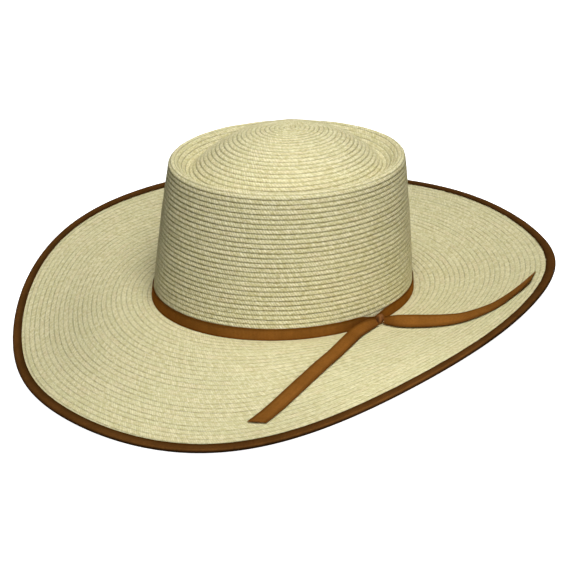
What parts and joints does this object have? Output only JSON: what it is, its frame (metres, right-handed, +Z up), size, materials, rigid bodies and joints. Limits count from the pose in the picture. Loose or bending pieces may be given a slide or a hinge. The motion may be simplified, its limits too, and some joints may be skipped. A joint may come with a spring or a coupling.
{
  "type": "palm leaf hat",
  "caption": "Sewn palm-braid hat with a telescope crown, a wide shaped brim bound in ribbon, and a narrow tied ribbon band with two loose ends.",
  "frame": {"origin": "middle of the hat's box on the surface that it rests on", "axes": "+X to the wearer's front, +Y to the wearer's left, +Z up; the hat leans back 7 degrees as it rests"},
  "size_m": [0.4032, 0.3748, 0.1327],
  "materials": {
    "palm_braid": "matt plaited palm leaf",
    "brown_ribbon": "ribbed grosgrain with a soft sheen"
  },
  "bodies": {
    "root": {"crown": "palm_braid", "brim": "palm_braid", "edge_binding": "brown_ribbon", "hat_band": "brown_ribbon", "band_knot": "brown_ribbon", "tail_front": "brown_ribbon", "tail_back": "brown_ribbon"}
  },
  "joints": []
}
